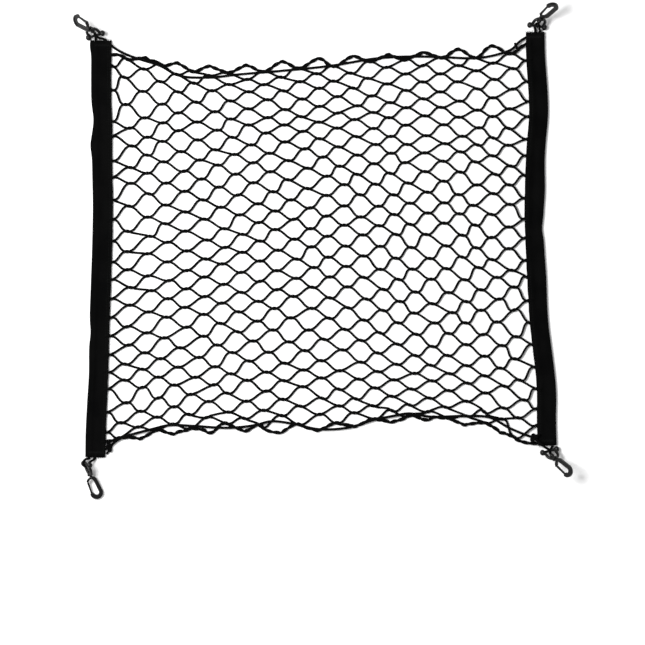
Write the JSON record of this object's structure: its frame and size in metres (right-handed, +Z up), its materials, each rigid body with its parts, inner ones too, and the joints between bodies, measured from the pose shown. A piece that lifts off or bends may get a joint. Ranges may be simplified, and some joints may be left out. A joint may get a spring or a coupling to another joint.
{
  "type": "cargo net",
  "caption": "Elastic cargo net between two folded tape sleeves, with an elastic edge cord and a swivel snap hook on a D ring at each corner, laid out flat.",
  "frame": {"origin": "middle of the whole part, corner hooks included, on the surface that it lies on", "axes": "+X to the right across the net between the sleeves, +Y towards its top edge, +Z up from the surface"},
  "size_m": [0.7644, 0.7612, 0.0521],
  "materials": {
    "elastic_netting": "black braided elastic strand, matt, with a fine braid",
    "woven_tape": "black plain-woven polypropylene tape, matt",
    "elastic_cord": "black braided round elastic, matt",
    "moulded_plastic": "black moulded plastic with a soft satin shine"
  },
  "bodies": {
    "net_and_rings": {"net": "elastic_netting", "sleeve_left": "woven_tape", "sleeve_right": "woven_tape", "edge_cord_long": "elastic_cord", "edge_cord_bottom": "elastic_cord", "knot_left": "elastic_cord", "knot_right": "elastic_cord", "ring_top_left": "moulded_plastic", "ring_top_right": "moulded_plastic", "ring_bottom_right": "moulded_plastic", "ring_bottom_left": "moulded_plastic"},
    "hook_top_left": {"hook_top_left": "moulded_plastic"},
    "gate_top_left": {"gate_top_left": "moulded_plastic"},
    "hook_top_right": {"hook_top_right": "moulded_plastic"},
    "gate_top_right": {"gate_top_right": "moulded_plastic"},
    "hook_bottom_right": {"hook_bottom_right": "moulded_plastic"},
    "gate_bottom_right": {"gate_bottom_right": "moulded_plastic"},
    "hook_bottom_left": {"hook_bottom_left": "moulded_plastic"},
    "gate_bottom_left": {"gate_bottom_left": "moulded_plastic"}
  },
  "joints": [
    {"name": "swivel_top_left", "type": "hinge", "parent": "net_and_rings", "child": "hook_top_left", "pos_m": [-0.35404, 0.33802, 0.01665], "axis": [-0.5763, 0.3918, 0.7172], "continuous": true},
    {"name": "gate_top_left", "type": "hinge", "parent": "hook_top_left", "child": "gate_top_left", "pos_m": [-0.3645, 0.35188, 0.0266], "axis": [0.8165, 0.2385, 0.5258], "range_deg": [0, 28], "stiffness_Nm_per_rad": 0.03, "springref_deg": -14.32},
    {"name": "swivel_top_right", "type": "hinge", "parent": "net_and_rings", "child": "hook_top_right", "pos_m": [0.33216, 0.35302, 0.01611], "axis": [0.5018, 0.5388, 0.6767], "continuous": true},
    {"name": "gate_top_right", "type": "hinge", "parent": "hook_top_right", "child": "gate_top_right", "pos_m": [0.33514, 0.36462, 0.03215], "axis": [-0.1074, 0.815, -0.5694], "range_deg": [0, 28], "stiffness_Nm_per_rad": 0.03, "springref_deg": -14.32},
    {"name": "swivel_bottom_right", "type": "hinge", "parent": "net_and_rings", "child": "hook_bottom_right", "pos_m": [0.35196, -0.31463, 0.01636], "axis": [0.6115, -0.6172, 0.4952], "continuous": true},
    {"name": "gate_bottom_right", "type": "hinge", "parent": "hook_bottom_right", "child": "gate_bottom_right", "pos_m": [0.3607, -0.33183, 0.02169], "axis": [-0.7068, -0.1448, 0.6924], "range_deg": [0, 28], "stiffness_Nm_per_rad": 0.03, "springref_deg": -14.32},
    {"name": "swivel_bottom_left", "type": "hinge", "parent": "net_and_rings", "child": "hook_bottom_left", "pos_m": [-0.36005, -0.33742, 0.01391], "axis": [0.3092, -0.924, -0.225], "continuous": true},
    {"name": "gate_bottom_left", "type": "hinge", "parent": "hook_bottom_left", "child": "gate_bottom_left", "pos_m": [-0.36131, -0.35696, 0.00972], "axis": [0.0714, -0.2133, 0.9744], "range_deg": [0, 28], "stiffness_Nm_per_rad": 0.03, "springref_deg": -14.32}
  ]
}
